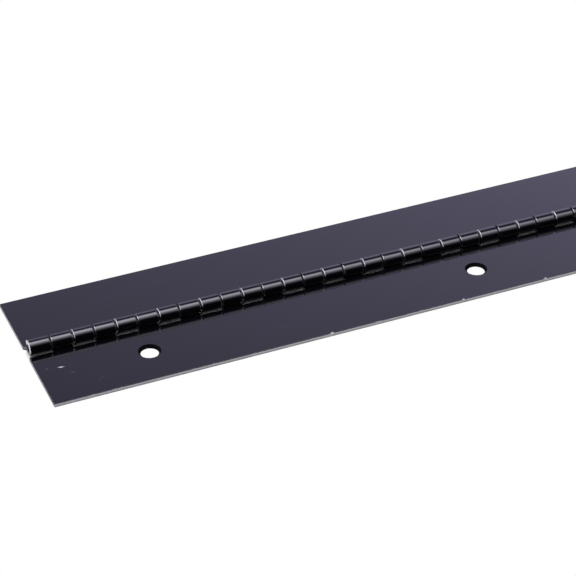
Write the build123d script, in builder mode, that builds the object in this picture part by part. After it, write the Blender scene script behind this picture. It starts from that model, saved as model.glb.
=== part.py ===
"""Piano hinge: two leaves of light sheet with interleaved knuckles rolled round one long pin.

The hinge lies open flat with its barrel on top. X runs along the pin, Y across the leaves
(the plain leaf is on +Y and the drilled leaf on -Y) and Z up. The origin is at mid length,
straight below the pin, on the plane of the leaves' undersides.
"""

from build123d import *
import os

# Driving dimensions, mm
knuckle_pitch = 6.35
knuckle_count = 42
sheet = 1.1
pin_diameter = 2.38
pin_clearance = 0.05
leaf_width = 25.4
screw_hole_diameter = 5.16
screw_hole_pitch = 101.6
screw_hole_count = 3
screw_hole_from_pin = 12.9

# Clearances and small features, mm and degrees
knuckle_start = 0.35
end_knuckle_inset = 0.7
plain_knuckle_gap = 0.65
drilled_knuckle_gap = 0.5
notch_clearance = 0.2
end_corner_radius = 0.65
screw_hole_chamfer = 0.65
curl_sweep = 280
pin_end_inset = 0.3
pin_chamfer = 0.2

# Worked out from the driving dimensions
hinge_length = knuckle_pitch * knuckle_count
left_end = -hinge_length / 2
first_pitch = left_end + knuckle_start
pin_radius = pin_diameter / 2
bore_radius = pin_radius + pin_clearance
barrel_radius = bore_radius + sheet
notch_edge = barrel_radius + notch_clearance


def knuckle_lefts(first, gap):
    """X of the left face of every second knuckle, from knuckle number `first` (1 is the left end)."""
    return [first_pitch + (n - 1) * knuckle_pitch + gap for n in range(first, knuckle_count + 1, 2)]


def leaf_flat(side, open_corners):
    """Outline of a leaf's flat, from the bottom of its notches to its outer edge.

    side is +1 for the leaf on +Y and -1 for the leaf on -Y. Counted from the left, open_corners of
    the two corners beside the barrel end in a notch and not in a knuckle, so they are rounded.
    """
    depth = leaf_width - notch_edge
    with BuildSketch() as flat:
        with Locations((0, side * (notch_edge + depth / 2))):
            Rectangle(hinge_length, depth)
        inner_corners = flat.vertices().sort_by(Axis.Y, reverse=side < 0)[:2].sort_by(Axis.X)
        fillet(inner_corners[:open_corners], end_corner_radius)
    return flat.sketch


def knuckle_sections(side, lefts, inner_radius):
    """The knuckle's section at each left face: a tab runs flat under the pin, up and back over it."""
    pin_centre = (0, barrel_radius)
    with BuildSketch(*[Plane.YZ.offset(left) for left in lefts]) as sections:
        with BuildLine():
            outer = CenterArc(pin_centre, barrel_radius, -90, -side * curl_sweep)
            inner = CenterArc(pin_centre, inner_radius, -90, -side * curl_sweep)
            Line(outer @ 1, inner @ 1)
            tab_top = (side * notch_edge, (inner @ 0).Y)
            tab_bottom = (side * notch_edge, 0)
            Polyline(inner @ 0, tab_top, tab_bottom, outer @ 0)
        make_face()
    return sections.sketch


# Plain leaf: the odd knuckles; the first one, at the left end, has no neighbour there and is a little longer
end_knuckle_left = left_end + end_knuckle_inset
end_knuckle_length = first_pitch + knuckle_pitch - end_knuckle_left
plain_lefts = knuckle_lefts(3, plain_knuckle_gap)
with BuildPart() as plain_leaf:
    extrude(leaf_flat(+1, open_corners=2), amount=sheet)
    extrude(knuckle_sections(+1, [end_knuckle_left], bore_radius), amount=end_knuckle_length)
    extrude(knuckle_sections(+1, plain_lefts, bore_radius), amount=knuckle_pitch - plain_knuckle_gap)

# Drilled leaf: the even knuckles; the last one, cut off at the right end, is staked down onto the pin.
# The holes are chamfered on top, on the barrel's side of the leaf.
*running_lefts, staked_left = knuckle_lefts(2, drilled_knuckle_gap)
staked_length = -left_end - staked_left
with BuildPart() as drilled_leaf:
    extrude(leaf_flat(-1, open_corners=1), amount=sheet)
    extrude(knuckle_sections(-1, running_lefts, bore_radius), amount=knuckle_pitch - drilled_knuckle_gap)
    extrude(knuckle_sections(-1, [staked_left], pin_radius), amount=staked_length)
    with Locations((0, -screw_hole_from_pin, sheet)):
        with GridLocations(screw_hole_pitch, 0, screw_hole_count, 1):
            Hole(screw_hole_diameter / 2)
    hole_edges = drilled_leaf.edges(Select.LAST).filter_by(GeomType.CIRCLE)
    chamfer(hole_edges.group_by(Axis.Z)[-1], screw_hole_chamfer)

# Pin: one wire through every knuckle, its chamfered ends just inside the end knuckles
pin_left = end_knuckle_left + pin_end_inset
pin_length = -left_end - pin_end_inset - pin_left
with BuildPart() as hinge_pin:
    with BuildSketch(Plane.YZ.offset(pin_left)):
        with Locations((0, barrel_radius)):
            Circle(pin_radius)
    extrude(amount=pin_length)
    chamfer(hinge_pin.edges().filter_by(GeomType.CIRCLE), pin_chamfer)

plain_leaf.part.label = "plain_leaf"
drilled_leaf.part.label = "drilled_leaf"
hinge_pin.part.label = "hinge_pin"

os.makedirs("parts", exist_ok=True)
export_step(plain_leaf.part, "parts/plain_leaf.step")
export_step(drilled_leaf.part, "parts/drilled_leaf.step")
export_step(hinge_pin.part, "parts/hinge_pin.step")
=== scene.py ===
"""Looks of the piano hinge: rolled-sheet meshes, glossy black paint, bare cut edges, soft studio light."""

import math
import random
from collections import namedtuple

import bmesh
import bpy
from mathutils import Matrix, Vector
from mathutils.geometry import delaunay_2d_cdt


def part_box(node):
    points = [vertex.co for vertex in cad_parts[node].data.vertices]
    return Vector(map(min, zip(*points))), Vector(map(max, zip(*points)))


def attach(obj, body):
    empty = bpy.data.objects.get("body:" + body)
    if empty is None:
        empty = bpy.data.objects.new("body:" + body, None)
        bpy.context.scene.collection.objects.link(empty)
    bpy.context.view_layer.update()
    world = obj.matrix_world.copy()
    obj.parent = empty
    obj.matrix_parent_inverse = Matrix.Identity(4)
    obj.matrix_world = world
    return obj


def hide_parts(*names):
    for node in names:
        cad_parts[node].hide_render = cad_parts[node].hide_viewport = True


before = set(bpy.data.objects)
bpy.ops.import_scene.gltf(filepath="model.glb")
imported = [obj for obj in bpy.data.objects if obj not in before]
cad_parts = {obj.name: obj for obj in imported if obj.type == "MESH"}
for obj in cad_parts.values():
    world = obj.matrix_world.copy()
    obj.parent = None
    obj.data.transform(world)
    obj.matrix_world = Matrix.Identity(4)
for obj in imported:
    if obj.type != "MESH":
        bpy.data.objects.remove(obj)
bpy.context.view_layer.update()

MM = 0.001

# The hinge's own sizes in mm: the extents are read from the frame, the rest repeat the CAD's dimensions
leaf_low, leaf_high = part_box("plain_leaf")
pin_low, pin_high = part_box("hinge_pin")
left_end = leaf_low.x / MM
right_end = leaf_high.x / MM
leaf_width = leaf_high.y / MM
barrel_radius = leaf_high.z / MM / 2
pin_left = pin_low.x / MM
pin_right = pin_high.x / MM
pin_radius = (pin_high.y - pin_low.y) / MM / 2
sheet = 1.1
knuckle_pitch = 6.35
knuckle_count = round((right_end - left_end) / knuckle_pitch)
knuckle_start = 0.35
end_knuckle_inset = 0.7
end_corner_radius = 0.65
plain_knuckle_gap = 0.65
drilled_knuckle_gap = 0.5
notch_edge = barrel_radius + 0.2
curl_sweep = math.radians(280)
screw_hole_radius = 2.58
screw_hole_chamfer = 0.65
screw_hole_from_pin = 12.9
screw_hole_pitch = 101.6

# Fineness of the meshes
corner_radius = 0.12
corner_steps = 4
curl_steps = 64
hole_steps = 96
end_corner_steps = 6
chamfer_softness = 0.04
pin_sides = 64

# Over how many degrees of the curl the bare metal of a painted highlight on a rim fades into paint
bare_highlight_fade = 14

PAINT, CUT, HOLE_WALL = 0, 1, 2

# A point of a leaf's outline on the unrolled sheet: v is -leaf_width at the leaf's outer edge, 0 straight
# under the pin, and grows round the curl. tab is the number of the point's knuckle, None on the flat.
Point = namedtuple("Point", "x v tab on_left", defaults=(None, False))


# ---------------------------------------------------------------- sheet meshes

def edge_profile():
    """(inset, height) up a sheared edge, from the underside's rim to the top's.

    The band between the two roundings is the wall.
    """
    r = corner_radius
    turns = [math.pi / 2 * i / corner_steps for i in range(corner_steps + 1)]
    lower = [(r * (1 - math.sin(a)), r * (1 - math.cos(a))) for a in turns]
    upper = [(r * (1 - math.cos(a)), sheet - r + r * math.sin(a)) for a in turns]
    return lower + upper


def hole_profile():
    """The same up the wall of a screw hole: straight, then a chamfer with slightly soft corners."""
    low, wide, soft = sheet - screw_hole_chamfer, screw_hole_chamfer, chamfer_softness
    lower_corner = [(0, low - soft), (soft / 2, low + soft / 2)]
    upper_corner = [(wide - soft, sheet - soft), (wide - soft / 3, sheet - soft / 3), (wide + soft, sheet)]
    return edge_profile()[:corner_steps + 1] + lower_corner + upper_corner


def end_corner(x, first_turn):
    """The rounded corner beside the barrel at the leaf's end x, as outline points over a quarter turn."""
    radius = end_corner_radius
    centre_x, centre_v = x - math.copysign(radius, x), -notch_edge - radius
    turns = [first_turn + math.pi / 2 * i / end_corner_steps for i in range(end_corner_steps + 1)]
    return [Point(centre_x + radius * math.cos(a), centre_v + radius * math.sin(a)) for a in turns]


def leaf_outline(tabs):
    """Outline of the unrolled sheet, anticlockwise."""
    end = curl_sweep * barrel_radius
    climb = [end * i / curl_steps for i in range(curl_steps + 1)]
    points = [Point(left_end, -leaf_width), Point(right_end, -leaf_width)]
    if tabs[-1][1] < right_end:
        points += end_corner(right_end, 0)
    for number, (x0, x1) in reversed(list(enumerate(tabs))):
        points.append(Point(x1, -notch_edge))
        points += [Point(x1, v, number) for v in climb]
        points += [Point(x0, v, number, True) for v in reversed(climb)]
        points.append(Point(x0, -notch_edge))
    return points + end_corner(left_end, math.pi / 2)


def inward_steps(points):
    """For each point of an anticlockwise outline, the step inwards that moves both its edges by one unit."""
    steps = []
    flat = [Vector((point.x, point.v)) for point in points]
    for i, here in enumerate(flat):
        before, after = flat[i - 1], flat[(i + 1) % len(flat)]
        into, out = (here - before).normalized(), (after - here).normalized()
        n1, n2 = Vector((-into.y, into.x)), Vector((-out.y, out.x))
        steps.append((n1 + n2) / (1 + n1.dot(n2)))
    return steps


class Leaf:
    """One leaf as a bmesh: the flat with its holes, and the curled tabs, all edges softly rounded.

    tab_rim_width is how far the rounding of the tabs' edges reaches inwards. The last argument says, for the
    first tab and then for all others, from which to which turn of the curl, in degrees, its left edge is
    bare metal. That bare metal is a painted highlight, laid only on the arc of the left rims where the light
    catches.
    """

    def __init__(self, side, tabs, holes, seed, tab_rim_width, bare_highlight_turns):
        self.side, self.tab_rim, self.bare_highlight_turns = side, tab_rim_width / corner_radius, bare_highlight_turns
        self.bm = bmesh.new()
        self.edge_layer = self.bm.verts.layers.float.new("edge")
        self.through_layer = self.bm.verts.layers.float.new("through")
        # The bare layer marks where the tabs' left rims get bare metal as a painted highlight
        self.bare_highlight_layer = self.bm.verts.layers.float.new("bare")
        draw = random.Random(seed)
        self.swell = [draw.uniform(0.0, 0.02) for _ in tabs]
        self.lift = [draw.uniform(0.0, 0.05) for _ in tabs]
        outline = leaf_outline(tabs)
        walls = [self.wall(p, q) for p, q in zip(outline, outline[1:] + outline[:1])]
        rings = self.edge_rings(outline, inward_steps(outline), edge_profile(), walls)
        self.curl_faces(outline, rings[0], rings[-1])
        flat = [i for i, point in enumerate(outline) if point.v <= -notch_edge]
        hole_rings = [self.hole_rings(x, v) for x, v in holes]
        for level in (0, -1):
            self.flat_faces([rings[level][i] for i in flat], [h[level] for h in hole_rings])
        bmesh.ops.recalc_face_normals(self.bm, faces=self.bm.faces)

    def place(self, x, v, height, tab):
        """Where a point of the unrolled sheet, at that height in its thickness, lies on the leaf."""
        if v <= 0:
            return Vector((x, -self.side * v, height))
        turn = v / barrel_radius
        radius = barrel_radius - height
        if tab is not None:
            late = max(0.0, turn / curl_sweep - 0.75) / 0.25
            radius += self.swell[tab] * (1 - math.cos(turn)) / 2 + self.lift[tab] * late * late
        return Vector((x, -self.side * math.sin(turn) * radius, barrel_radius - math.cos(turn) * radius))

    def bare_highlight_strength(self, point):
        """Bare metal as a painted highlight: 1 on the lit arc of a left rim, fading out at both ends."""
        if not point.on_left:
            return 0.0
        low, high = self.bare_highlight_turns[min(point.tab, 1)]
        turn = math.degrees(point.v / barrel_radius)
        return max(0.0, min(1.0, (turn - low) / bare_highlight_fade, (high - turn) / bare_highlight_fade))

    @staticmethod
    def wall(here, there):
        """The leaf's outer edges are bare, because it was cut to size last; its notches are painted."""
        return CUT if min(here.v, there.v) == -leaf_width else PAINT

    def face(self, verts, material):
        made = self.bm.faces.new(verts)
        made.material_index = material
        made.smooth = True

    def edge_rings(self, points, steps, profile, walls):
        """Rings of vertices up an edge of that profile, underside first, joined by faces."""
        rings = []
        for level, (inset, height) in enumerate(profile):
            rim = 0 < level < len(profile) - 1
            ring = []
            for point, step in zip(points, steps):
                reach = inset if point.tab is None else inset * self.tab_rim
                x, v = point.x + step.x * reach, point.v + step.y * reach
                made = self.bm.verts.new(self.place(x, v, height, point.tab) * MM)
                made[self.edge_layer] = 1.0 if rim else 0.0
                made[self.through_layer] = height / sheet
                made[self.bare_highlight_layer] = self.bare_highlight_strength(point) if rim else 0.0
                ring.append(made)
            rings.append(ring)
        for level, (lower, upper) in enumerate(zip(rings, rings[1:])):
            for i, wall in enumerate(walls):
                j = (i + 1) % len(points)
                material = wall if level == corner_steps or wall == HOLE_WALL else PAINT
                self.face((lower[i], lower[j], upper[j], upper[i]), material)
        return rings

    def hole_rings(self, x, v):
        turns = [math.tau * i / hole_steps for i in range(hole_steps)]
        r = screw_hole_radius
        points = [Point(x + r * math.cos(a), v + r * math.sin(a)) for a in turns]
        steps = [Vector((math.cos(a), math.sin(a))) for a in turns]
        return self.edge_rings(points, steps, hole_profile(), [HOLE_WALL] * hole_steps)

    def curl_faces(self, outline, bottom, top):
        """The two broad faces of every tab, one row of quads at a time from its root to its cut end."""
        by_tab = {}
        for i, point in enumerate(outline):
            by_tab.setdefault(point.tab, []).append(i)
        for tab, found in by_tab.items():
            if tab is None:
                continue
            half = len(found) // 2
            right = [found[0] - 1] + found[:half]
            left = [found[-1] + 1] + found[:half - 1:-1]
            for r0, r1, l0, l1 in zip(right, right[1:], left, left[1:]):
                for ring in (bottom, top):
                    self.face((ring[r0], ring[r1], ring[l1], ring[l0]), PAINT)

    def flat_faces(self, boundary, hole_rings):
        """Triangles over the flat between its boundary ring and its holes' rings.

        A triangle with all its corners on one hole's ring would lie across that hole, so it is left out.
        """
        loops = [boundary, *hole_rings]
        verts = [v for loop in loops for v in loop]
        loop_of = [number for number, loop in enumerate(loops) for _ in loop]
        spans, start = [], 0
        for loop in loops:
            spans.append(list(range(start, start + len(loop))))
            start += len(loop)
        edges = [(span[i - 1], span[i]) for span in spans for i in range(len(span))]
        flat = [Vector((v.co.x / MM, v.co.y / MM)) for v in verts]
        _, _, triangles, origin, _, _ = delaunay_2d_cdt(flat, edges, [], 1, 1e-5)
        for triangle in triangles:
            corners = [origin[i][0] for i in triangle]
            on_loops = {loop_of[i] for i in corners}
            if on_loops == {0} or len(on_loops) > 1:
                self.face([verts[i] for i in corners], PAINT)


def tabs_from(first, gap):
    """(left, right) faces of every second knuckle, from knuckle number `first`; the end ones differ."""
    tabs = []
    for number in range(first, knuckle_count + 1, 2):
        pitch_end = left_end + knuckle_start + number * knuckle_pitch
        tabs.append((pitch_end - knuckle_pitch + gap, min(pitch_end, right_end)))
    if first == 1:
        tabs[0] = (left_end + end_knuckle_inset, tabs[0][1])
    return tabs


def pin_wire():
    """The pin as a turned bmesh with bevelled, slightly domed ends."""
    bm = bmesh.new()
    half = [(0, 0.0), (0.05, 0.6 * pin_radius), (0.1, pin_radius - 0.2), (0.14, pin_radius - 0.13),
            (0.22, pin_radius - 0.04), (0.34, pin_radius)]
    line = [(pin_left + x, r) for x, r in half]
    line += [(pin_right - x, r) for x, r in reversed(half)]
    rings = []
    for x, r in line:
        if r == 0:
            rings.append([bm.verts.new((x * MM, 0, barrel_radius * MM))] * pin_sides)
            continue
        turns = [math.tau * i / pin_sides for i in range(pin_sides)]
        rings.append([
            bm.verts.new(Vector((x, r * math.cos(a), barrel_radius + r * math.sin(a))) * MM) for a in turns
        ])
    for here, there in zip(rings, rings[1:]):
        for i in range(pin_sides):
            j = (i + 1) % pin_sides
            corners = list(dict.fromkeys((here[i], here[j], there[j], there[i])))
            bm.faces.new(corners).smooth = True
    bmesh.ops.recalc_face_normals(bm, faces=bm.faces)
    return bm


def finished(bm, name, materials):
    """The bmesh as an object with its materials, smooth where it is round and flat where it is flat."""
    mesh = bpy.data.meshes.new(name)
    bm.to_mesh(mesh)
    bm.free()
    for material in materials:
        mesh.materials.append(material)
    made = bpy.data.objects.new(name, mesh)
    bpy.context.scene.collection.objects.link(made)
    normals = made.modifiers.new("flat_faces_stay_flat", "WEIGHTED_NORMAL")
    normals.weight = 100
    return made


# ---------------------------------------------------------------- materials

def node(tree, kind, inputs=None, **settings):
    """A new node with its settings and inputs; an input is a number, a colour or another node's output."""
    made = tree.nodes.new(kind)
    for key, value in settings.items():
        setattr(made, key, value)
    for key, value in (inputs or {}).items():
        if isinstance(value, bpy.types.NodeSocket):
            tree.links.new(value, made.inputs[key])
        else:
            made.inputs[key].default_value = value
    return made


def maths(tree, operation, a, b=0.0):
    return node(tree, "ShaderNodeMath", {0: a, 1: b}, operation=operation).outputs[0]


def ramp(tree, value, low, high, to_low, to_high, smooth=False):
    kind = "SMOOTHSTEP" if smooth else "LINEAR"
    inputs = {"Value": value, "From Min": low, "From Max": high, "To Min": to_low, "To Max": to_high}
    return node(tree, "ShaderNodeMapRange", inputs, interpolation_type=kind).outputs["Result"]


def noise(tree, place, size_mm, detail=2.0, stretch=(1, 1, 1)):
    """Noise from 0 to 1 with features of about size_mm, on the object's own coordinates."""
    squeeze = [1 / s for s in stretch]
    spread = node(tree, "ShaderNodeVectorMath", {0: place, 1: squeeze}, operation="MULTIPLY")
    inputs = {"Vector": spread.outputs[0], "Scale": 1 / (size_mm * MM), "Detail": detail}
    return node(tree, "ShaderNodeTexNoise", inputs).outputs["Fac"]


def mix_colour(tree, factor, a, b):
    made = node(tree, "ShaderNodeMix", {"Factor": factor}, data_type="RGBA")
    for socket, value in (("A", a), ("B", b)):
        target = next(s for s in made.inputs if s.name == socket and s.type == "RGBA")
        if isinstance(value, bpy.types.NodeSocket):
            tree.links.new(value, target)
        else:
            target.default_value = value
    return next(s for s in made.outputs if s.type == "RGBA")


def new_material(name):
    material = bpy.data.materials.new(name)
    material.use_nodes = True
    tree = material.node_tree
    place = node(tree, "ShaderNodeTexCoord").outputs["Object"]
    return material, tree, tree.nodes["Principled BSDF"], place


# Handling marks on the paint in mm: x, y, half length, half width, turn in degrees, strength
marks = [
    (-126.5, -10.2, 1.25, 0.34, -8, 0.86),
    (-130.3, -9.5, 0.5, 0.3, 10, 0.1),
    (-124.2, -13.7, 1.2, 0.3, -12, 0.06),
    (-118.0, -19.2, 2.2, 0.1, 35, 0.06),
    (-62.0, -17.5, 3.0, 0.1, -20, 0.05),
    (-51.6, -25.3, 0.8, 0.5, 0, 0.8),
    (-10.4, -25.3, 0.5, 0.5, 0, 0.7),
    (16.3, -25.3, 0.6, 0.5, 0, 0.8),
    (47.0, 14.0, 2.4, 0.1, 28, 0.06),
    (92.0, -8.0, 1.2, 0.2, -8, 0.15),
    (-88.0, 18.0, 2.6, 0.1, -15, 0.05),
]


def mark_strength(tree, place, x, y, half_length, half_width, turn, strength):
    """How strongly one handling mark shows: an ellipse with a broken edge."""
    inputs = {
        "Vector": place,
        "Location": (x * MM, y * MM, 0),
        "Rotation": (0, 0, math.radians(turn)),
        "Scale": (half_length * MM, half_width * MM, 1),
    }
    local = node(tree, "ShaderNodeMapping", inputs, vector_type="TEXTURE").outputs[0]
    flat = node(tree, "ShaderNodeVectorMath", {0: local, 1: (1, 1, 0)}, operation="MULTIPLY").outputs[0]
    away = node(tree, "ShaderNodeVectorMath", {0: flat}, operation="LENGTH").outputs["Value"]
    return ramp(tree, away, 0.35, 1.0, strength, 0.0, smooth=True)


def black_paint():
    """Glossy bluish-black paint: faint orange peel, dust nibs, handling marks and worn corners.

    Bare metal on the left rims of the tabs is a painted highlight, laid where the light catches them.
    """
    material, tree, shader, place = new_material("black_paint")
    scratches = [mark_strength(tree, place, *mark) for mark in marks]
    worn = scratches[0]
    for scratch in scratches[1:]:
        worn = maths(tree, "MAXIMUM", worn, scratch)
    grain = noise(tree, place, 0.35, 3)
    worn = maths(tree, "MULTIPLY", worn, ramp(tree, grain, 0.38, 0.58, 0.25, 1.0))
    edge = node(tree, "ShaderNodeAttribute", attribute_name="edge").outputs["Fac"]
    patches = ramp(tree, noise(tree, place, 2.2, 4), 0.56, 0.68, 0.0, 0.3)
    rubbed = maths(tree, "MULTIPLY", ramp(tree, edge, 0.3, 1.0, 0.0, 1.0), patches)
    # corners is the bare attribute: bare metal on the lit arcs of the tabs' left rims, a painted highlight
    corners = node(tree, "ShaderNodeAttribute", attribute_name="bare").outputs["Fac"]
    corners = maths(tree, "MULTIPLY", corners, ramp(tree, noise(tree, place, 0.4, 3), 0.3, 0.6, 0.6, 1.0))
    # bare joins real wear, the handling marks and rubbed edges, with that painted highlight; both share the
    # bare colour
    bare = maths(tree, "MAXIMUM", maths(tree, "MAXIMUM", worn, rubbed), corners)
    tree.links.new(corners, shader.inputs["Metallic"])
    cloudy = noise(tree, place, 14, 3)
    tone = mix_colour(tree, cloudy, (0.0010, 0.0009, 0.0014, 1), (0.0018, 0.0016, 0.0026, 1))
    tree.links.new(mix_colour(tree, bare, tone, (0.60, 0.585, 0.61, 1)), shader.inputs["Base Color"])
    haze = ramp(tree, noise(tree, place, 9, 4), 0.3, 0.7, 0.065, 0.105)
    tree.links.new(maths(tree, "ADD", haze, maths(tree, "MULTIPLY", bare, 0.4)), shader.inputs["Roughness"])
    peel = noise(tree, place, 1.3, 1)
    nibs = ramp(tree, noise(tree, place, 0.5, 0), 0.74, 0.80, 0.0, 1.0)
    height = maths(tree, "ADD", peel, maths(tree, "MULTIPLY", nibs, 0.6))
    bump = node(tree, "ShaderNodeBump", {"Height": height, "Strength": 0.35, "Distance": 0.000012})
    tree.links.new(bump.outputs[0], shader.inputs["Normal"])
    return material


def hole_wall_paint():
    """Paint on the walls of the punched holes: thin and dull, with the punch's lines down them."""
    material, tree, shader, place = new_material("hole_wall_paint")
    lines = noise(tree, place, 0.15, 3, stretch=(1, 1, 8))
    thin = ramp(tree, noise(tree, place, 0.6, 3), 0.62, 0.74, 0.0, 1.0)
    tone = mix_colour(tree, lines, (0.0004, 0.0004, 0.0005, 1), (0.0014, 0.0013, 0.0017, 1))
    tree.links.new(mix_colour(tree, thin, tone, (0.008, 0.0075, 0.0085, 1)), shader.inputs["Base Color"])
    tree.links.new(ramp(tree, lines, 0.3, 0.7, 0.6, 0.8), shader.inputs["Roughness"])
    shader.inputs["Specular IOR Level"].default_value = 0.04
    bump = node(tree, "ShaderNodeBump", {"Height": lines, "Strength": 0.5, "Distance": 0.00002})
    tree.links.new(bump.outputs[0], shader.inputs["Normal"])
    return material


def cut_steel():
    """Sheared sheet steel: a burnished band on top and a grainy torn band below, both lightly stained."""
    material, tree, shader, place = new_material("cut_steel")
    through = node(tree, "ShaderNodeAttribute", attribute_name="through").outputs["Fac"]
    wander = maths(tree, "MULTIPLY", noise(tree, place, 1.6, 3), 0.3)
    torn = ramp(tree, maths(tree, "ADD", through, wander), 0.62, 0.78, 1.0, 0.0)
    streaks = noise(tree, place, 0.12, 3, stretch=(1, 1, 9))
    burnished = mix_colour(tree, streaks, (0.25, 0.24, 0.255, 1), (0.36, 0.35, 0.365, 1))
    rough = mix_colour(tree, noise(tree, place, 0.18, 3), (0.20, 0.195, 0.20, 1), (0.34, 0.335, 0.34, 1))
    stain = ramp(tree, noise(tree, place, 3.5, 4), 0.5, 0.75, 0.0, 0.35)
    clean = mix_colour(tree, torn, burnished, rough)
    tree.links.new(mix_colour(tree, stain, clean, (0.20, 0.17, 0.13, 1)), shader.inputs["Base Color"])
    shader.inputs["Metallic"].default_value = 1.0
    tree.links.new(maths(tree, "ADD", maths(tree, "MULTIPLY", torn, 0.2), 0.33), shader.inputs["Roughness"])
    bump = node(tree, "ShaderNodeBump", {"Height": streaks, "Strength": 0.5, "Distance": 0.00002})
    tree.links.new(bump.outputs[0], shader.inputs["Normal"])
    return material


def pin_steel():
    """Drawn wire: dull grey steel with lines along it, dusted with paint."""
    material, tree, shader, place = new_material("pin_steel")
    lines = noise(tree, place, 0.10, 3, stretch=(40, 1, 1))
    dusted = ramp(tree, noise(tree, place, 0.5, 3), 0.4, 0.6, 0.2, 1.0)
    steel = mix_colour(tree, lines, (0.16, 0.155, 0.165, 1), (0.30, 0.29, 0.31, 1))
    tree.links.new(mix_colour(tree, dusted, steel, (0.03, 0.028, 0.034, 1)), shader.inputs["Base Color"])
    shader.inputs["Metallic"].default_value = 1.0
    tree.links.new(ramp(tree, lines, 0.3, 0.7, 0.35, 0.55), shader.inputs["Roughness"])
    bump = node(tree, "ShaderNodeBump", {"Height": lines, "Strength": 0.4, "Distance": 0.00001})
    tree.links.new(bump.outputs[0], shader.inputs["Normal"])
    return material


# ---------------------------------------------------------------- pieces

paint = black_paint()
cut = cut_steel()
hole_wall = hole_wall_paint()
screw_holes = [(i * screw_hole_pitch, -screw_hole_from_pin) for i in (-1, 0, 1)]
plain_tabs = tabs_from(1, plain_knuckle_gap)
drilled_tabs = tabs_from(2, drilled_knuckle_gap)
# The turn ranges put bare metal only where the light catches the tabs' left rims: painted highlights, a long
# streak on the plain leaf's tabs and a short spot near the top on the drilled leaf's
plain = Leaf(+1, plain_tabs, [], 11, tab_rim_width=0.2, bare_highlight_turns=[(75, 240), (118, 235)])
drilled = Leaf(-1, drilled_tabs, screw_holes, 12, tab_rim_width=0.15, bare_highlight_turns=[(185, 228)] * 2)
for bm, name, materials, cad_node, body, slot in (
    (plain.bm, "plain_leaf_sheet", [paint, cut], "plain_leaf", "plain_side", "black_paint"),
    (drilled.bm, "drilled_leaf_sheet", [paint, cut, hole_wall], "drilled_leaf", "drilled_side",
     "black_paint"),
    (pin_wire(), "hinge_pin_wire", [pin_steel()], "hinge_pin", "drilled_side", "pin_steel"),
):
    piece = finished(bm, name, materials)
    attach(piece, body)
    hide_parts(cad_node)


# ---------------------------------------------------------------- studio

def rectangle(bm, low, high):
    """Vertices of a level rectangle between two corners, anticlockwise."""
    return [bm.verts.new((x, y, 0)) for x, y in (low, (high[0], low[1]), high, (low[0], high[1]))]


def floor_piece(name, outer, inner, material, camera, glossy):
    """A level piece of floor: the rectangle between the two corners of outer, less the one of inner."""
    bm = bmesh.new()
    edge = rectangle(bm, *outer)
    if inner is None:
        bm.faces.new(edge)
    else:
        hole = rectangle(bm, *inner)
        for i in range(4):
            j = (i + 1) % 4
            bm.faces.new((edge[i], edge[j], hole[j], hole[i]))
    mesh = bpy.data.meshes.new(name)
    bm.to_mesh(mesh)
    bm.free()
    mesh.materials.append(material)
    made = bpy.data.objects.new(name, mesh)
    bpy.context.scene.collection.objects.link(made)
    made.visible_camera = camera
    made.visible_glossy = glossy


def pale_floor():
    """A floor that lights the hinge from below and is white to the camera.

    The camera looks past it to the white backdrop, so that a leaf that swings down below it is seen too,
    and sees only the strip in the barrel's shadow, which ends inside that leaf. Glossy paint reflects it
    only close to the hinge.
    """
    material, _, shader, _ = new_material("pale_floor")
    shader.inputs["Base Color"].default_value = (0.86, 0.87, 0.80, 1)
    shader.inputs["Roughness"].default_value = 0.9
    shader.inputs["Specular IOR Level"].default_value = 0.0
    end, side = right_end * MM, leaf_width * MM
    under = ((-end, -notch_edge * MM), (end, (barrel_radius - 0.9 * sheet) * MM))
    near = ((-end - 0.02, -side - 0.008), (end + 0.02, side + 0.008))
    floor_piece("floor_under_barrel", under, None, material, camera=True, glossy=True)
    floor_piece("floor_near", near, under, material, camera=False, glossy=True)
    floor_piece("floor_around", ((-6.0, -6.0), (6.0, 6.0)), near, material, camera=False, glossy=False)


def times(tree, a, b):
    return maths(tree, "MULTIPLY", a, b)


def without(tree, value):
    return maths(tree, "SUBTRACT", 1.0, value)


def soft(tree, value, low, high, to_low, to_high):
    return ramp(tree, value, low, high, to_low, to_high, smooth=True)


def room_walls(tree, x, y, z, aside):
    """Strength of the pale walls: a high panel on the left, and a dark flag on the near right."""
    above = ramp(tree, z, -0.02, 0.02, 0.0, 1.0)
    upper = times(tree, ramp(tree, z, 0.45, 0.76, 1.40, 0.20), ramp(tree, z, 0.03, 0.42, 0.42, 1.0))
    lower = ramp(tree, z, -0.45, -0.12, 1.0, 0.45)
    wall = maths(tree, "ADD", times(tree, upper, above), times(tree, lower, without(tree, above)))
    wall = times(tree, wall, ramp(tree, x, 0.10, 0.46, 0.68, 1.20))
    wall = times(tree, wall, ramp(tree, aside, 0.0, 1.0, 1.0, 0.5))
    panel = times(tree, soft(tree, x, -0.75, -0.3, 4.0, 0.0), soft(tree, z, 0.3, 0.6, 0.0, 1.0))

    flag = times(tree, soft(tree, x, 0.0, 0.14, 0.0, 1.0), soft(tree, x, 0.5, 0.62, 1.0, 0.0))
    flag = times(tree, flag, soft(tree, y, -0.35, -0.08, 1.0, 0.0))
    flag = times(tree, flag, soft(tree, z, -0.4, -0.2, 0.0, 0.985))
    return times(tree, maths(tree, "ADD", wall, panel), without(tree, flag))


def overhead_box(tree, x, y, z):
    """Strength of the long box over the barrel: a slanting band that fades out on its near side."""
    slant = ramp(tree, x, -1.0, 1.0, -1.65, 1.05)
    across = maths(tree, "ADD", maths(tree, "ARCTAN2", y, z), slant)
    near_side = maths(tree, "POWER", ramp(tree, across, -0.95, 0.0, 0.0, 1.0), 2.1)
    far_edge = soft(tree, across, 0.12, 0.52, 1.0, 0.0)
    along = soft(tree, maths(tree, "ABSOLUTE", x), 0.12, 0.8, 9.4, 0.0)
    left_end_dimmer = soft(tree, x, -0.05, 0.17, 0.3, 1.0)
    return times(tree, times(tree, near_side, far_edge), times(tree, along, left_end_dimmer))


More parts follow.
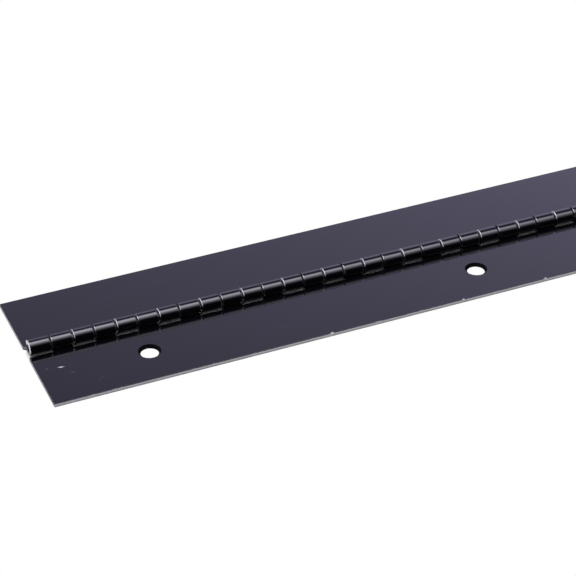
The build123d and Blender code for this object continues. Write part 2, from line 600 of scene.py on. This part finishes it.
def studio_world():
    """Soft light by direction: pale bluish walls, lilac towards the right, and a long overhead box.

    aside is 1 in the directions on the near side and on the far right, where the walls are dimmer
    and less lilac.
    """
    world = bpy.data.worlds.new("studio")
    world.use_nodes = True
    tree = world.node_tree
    place = node(tree, "ShaderNodeTexCoord").outputs["Generated"]
    split = node(tree, "ShaderNodeSeparateXYZ", {0: place})
    x, y, z = (split.outputs[i] for i in range(3))
    near_wall = times(tree, soft(tree, y, -0.35, -0.05, 1.0, 0.0), soft(tree, z, 0.0, 0.1, 0.0, 1.0))
    aside = maths(tree, "MAXIMUM", near_wall, soft(tree, x, 0.55, 0.8, 0.0, 1.0))
    lilac = times(tree, ramp(tree, x, -0.1, 0.2, 0.0, 1.0), without(tree, aside))
    tint = mix_colour(tree, lilac, (0.80, 0.79, 0.88, 1), (0.72, 0.68, 1.0, 1))
    wall = times(tree, room_walls(tree, x, y, z, aside), 1.15)
    wall_light = node(tree, "ShaderNodeBackground", {"Color": tint, "Strength": wall})
    box = {"Color": (0.91, 0.88, 1.0, 1), "Strength": overhead_box(tree, x, y, z)}
    box_light = node(tree, "ShaderNodeBackground", box)
    lights = {0: wall_light.outputs[0], 1: box_light.outputs[0]}
    both = node(tree, "ShaderNodeAddShader", lights).outputs[0]
    backdrop = node(tree, "ShaderNodeBackground", {"Color": (1, 1, 1, 1)}).outputs[0]
    seen = node(tree, "ShaderNodeLightPath").outputs["Is Camera Ray"]
    shown = node(tree, "ShaderNodeMixShader", {0: seen, 1: both, 2: backdrop}).outputs[0]
    tree.links.new(shown, tree.nodes["World Output"].inputs["Surface"])
    bpy.context.scene.world = world


def camera_at(azimuth, elevation, distance, target, lens, roll):
    a, e = math.radians(azimuth), math.radians(elevation)
    back = Vector((math.sin(a) * math.cos(e), -math.cos(a) * math.cos(e), math.sin(e)))
    data = bpy.data.cameras.new("camera")
    data.lens = lens
    data.sensor_width = 36
    data.clip_start = 0.01
    data.clip_end = 50
    made = bpy.data.objects.new("camera", data)
    bpy.context.scene.collection.objects.link(made)
    turn = (-back).to_track_quat("-Z", "Y").to_matrix() @ Matrix.Rotation(math.radians(roll), 3, "Z")
    made.matrix_world = Matrix.Translation(target + back * distance) @ turn.to_4x4()
    bpy.context.scene.camera = made


pale_floor()
studio_world()
aim = Vector(((left_end + 79.62) * MM, 1.40 * MM, 0))
camera_at(azimuth=-23.03, elevation=34.85, distance=0.622, target=aim, lens=134.09, roll=-0.23)
bpy.context.scene.view_settings.view_transform = "Standard"
